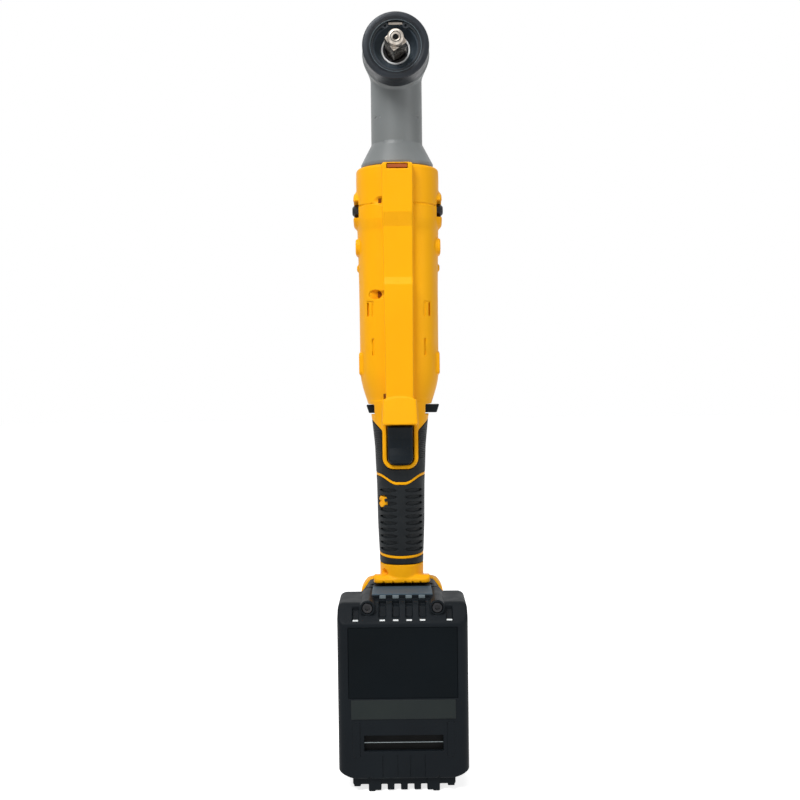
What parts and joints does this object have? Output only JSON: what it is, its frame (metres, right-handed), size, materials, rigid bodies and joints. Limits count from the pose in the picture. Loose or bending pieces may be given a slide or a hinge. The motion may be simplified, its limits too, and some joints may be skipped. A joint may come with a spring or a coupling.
{
  "type": "cordless angle wrench",
  "caption": "Long cordless wrench with a square drive at right angles to its grey neck, a slim rubber grip, a paddle trigger and a slide-on battery pack.",
  "frame": {"origin": "under the middle of the whole tool, at the height of the two ribs at the pack's end that it stands on", "axes": "+Z along the tool from its battery pack to its head; -Y is the side of the square drive, the trigger and the label recess; +X is the viewer's right"},
  "size_m": [0.0754, 0.0822, 0.4575],
  "materials": {
    "yellow": "satin moulded, orange-yellow",
    "rubber": "matte overmoulded rubber, black",
    "casting": "painted light-alloy casting, satin grey",
    "cap": "satin blue-black",
    "steel": "ground, warm bright",
    "black_steel": "blackened",
    "slate": "dark slate moulding",
    "pack_black": "charcoal moulding",
    "winding": "laminated core with copper windings",
    "bronze": "hardened gear steel, straw tint",
    "board": "green circuit board",
    "cell": "wrapped cell cans",
    "lens": "tinted clear lens",
    "red": "red insulation"
  },
  "bodies": {
    "tool": {"housing_left": "yellow", "housing_right": "yellow", "grip_left": "rubber", "grip_right": "rubber", "upper_body_screw": "black_steel", "middle_body_screw": "black_steel", "lower_body_screw": "black_steel", "grip_screw": "black_steel", "stub_screw": "black_steel", "side_bolt_left": "black_steel", "side_bolt_right": "black_steel", "gear_case": "casting", "nose_cap": "cap", "retaining_ring": "black_steel", "nose_bush": "steel", "nose_bearing": "steel", "tail_bearing": "steel", "upper_shaft_bearing": "steel", "lower_shaft_bearing": "steel", "second_ring_gear": "steel", "first_ring_gear": "steel", "gearbox_plate": "casting", "stator": "winding", "front_motor_bearing": "steel", "rear_motor_bearing": "steel", "controller": "board", "switch": "pack_black", "light_lens": "lens", "light_board": "board", "terminal_block": "pack_black", "positive_wire": "red", "negative_wire": "pack_black"},
    "rotor": {"rotor": "steel", "rotor_shaft": "steel", "fan": "pack_black"},
    "first_carrier": {"first_carrier": "steel"},
    "output_carrier": {"second_carrier": "steel", "drive_shaft": "steel"},
    "square_drive": {"drive_square": "steel", "friction_ring": "steel", "bevel_gear": "steel"},
    "trigger": {"trigger": "slate"},
    "selector": {"selector": "slate"},
    "battery": {"pack_tub": "pack_black", "pack_rail_case": "pack_black", "front_cell_row": "cell", "rear_cell_row": "cell", "pack_board": "board", "left_pack_screw": "black_steel", "right_pack_screw": "black_steel"},
    "latch": {"latch": "slate"},
    "first_planet_1": {"first_planet_1": "bronze"},
    "first_planet_2": {"first_planet_2": "bronze"},
    "first_planet_3": {"first_planet_3": "bronze"},
    "second_planet_1": {"second_planet_1": "bronze"},
    "second_planet_2": {"second_planet_2": "bronze"},
    "second_planet_3": {"second_planet_3": "bronze"}
  },
  "joints": [
    {"name": "motor_spin", "type": "hinge", "parent": "tool", "child": "rotor", "pos_m": [0, 0.01588, 0.289], "axis": [0, 0, 1], "continuous": true},
    {"name": "first_carrier_spin", "type": "hinge", "parent": "tool", "child": "first_carrier", "pos_m": [0, 0.01588, 0.3472], "axis": [0, 0, 1], "continuous": true},
    {"name": "output_carrier_spin", "type": "hinge", "parent": "tool", "child": "output_carrier", "pos_m": [0, 0.01588, 0.3638], "axis": [0, 0, 1], "continuous": true},
    {"name": "first_planet_1_spin", "type": "hinge", "parent": "first_carrier", "child": "first_planet_1", "pos_m": [0, 0.02604, 0.3379], "axis": [0, 0, 1], "continuous": true},
    {"name": "first_planet_2_spin", "type": "hinge", "parent": "first_carrier", "child": "first_planet_2", "pos_m": [-0.0088, 0.01081, 0.3379], "axis": [0, 0, 1], "continuous": true},
    {"name": "first_planet_3_spin", "type": "hinge", "parent": "first_carrier", "child": "first_planet_3", "pos_m": [0.0088, 0.01081, 0.3379], "axis": [0, 0, 1], "continuous": true},
    {"name": "second_planet_1_spin", "type": "hinge", "parent": "output_carrier", "child": "second_planet_1", "pos_m": [0, 0.02604, 0.3515], "axis": [0, 0, 1], "continuous": true},
    {"name": "second_planet_2_spin", "type": "hinge", "parent": "output_carrier", "child": "second_planet_2", "pos_m": [-0.0088, 0.01081, 0.3515], "axis": [0, 0, 1], "continuous": true},
    {"name": "second_planet_3_spin", "type": "hinge", "parent": "output_carrier", "child": "second_planet_3", "pos_m": [0.0088, 0.01081, 0.3515], "axis": [0, 0, 1], "continuous": true},
    {"name": "square_drive_spin", "type": "hinge", "parent": "tool", "child": "square_drive", "pos_m": [0, 0.01588, 0.437], "axis": [0, 1, 0], "continuous": true},
    {"name": "trigger_pull", "type": "slide", "parent": "tool", "child": "trigger", "axis": [0, 1, 0], "range_m": [0, 0.0055], "stiffness_N_per_m": 900, "springref_m": -0.003},
    {"name": "selector_slide", "type": "slide", "parent": "tool", "child": "selector", "axis": [1, 0, 0], "range_m": [-0.0036, 0]},
    {"name": "battery_slide", "type": "slide", "parent": "tool", "child": "battery", "axis": [0, 0, -1], "range_m": [0, 0.08]},
    {"name": "latch_press", "type": "slide", "parent": "battery", "child": "latch", "axis": [0, -1, 0], "range_m": [0, 0.0035], "stiffness_N_per_m": 1500, "springref_m": -0.003}
  ],
  "couplings": [
    {"joint": "first_carrier_spin", "follows": "motor_spin", "ratio": 0.22222},
    {"joint": "output_carrier_spin", "follows": "motor_spin", "ratio": 0.049383},
    {"joint": "first_planet_1_spin", "follows": "motor_spin", "ratio": -0.62222},
    {"joint": "first_planet_2_spin", "follows": "motor_spin", "ratio": -0.62222},
    {"joint": "first_planet_3_spin", "follows": "motor_spin", "ratio": -0.62222},
    {"joint": "second_planet_1_spin", "follows": "motor_spin", "ratio": -0.13827},
    {"joint": "second_planet_2_spin", "follows": "motor_spin", "ratio": -0.13827},
    {"joint": "second_planet_3_spin", "follows": "motor_spin", "ratio": -0.13827},
    {"joint": "square_drive_spin", "follows": "motor_spin", "ratio": 0.02963}
  ]
}
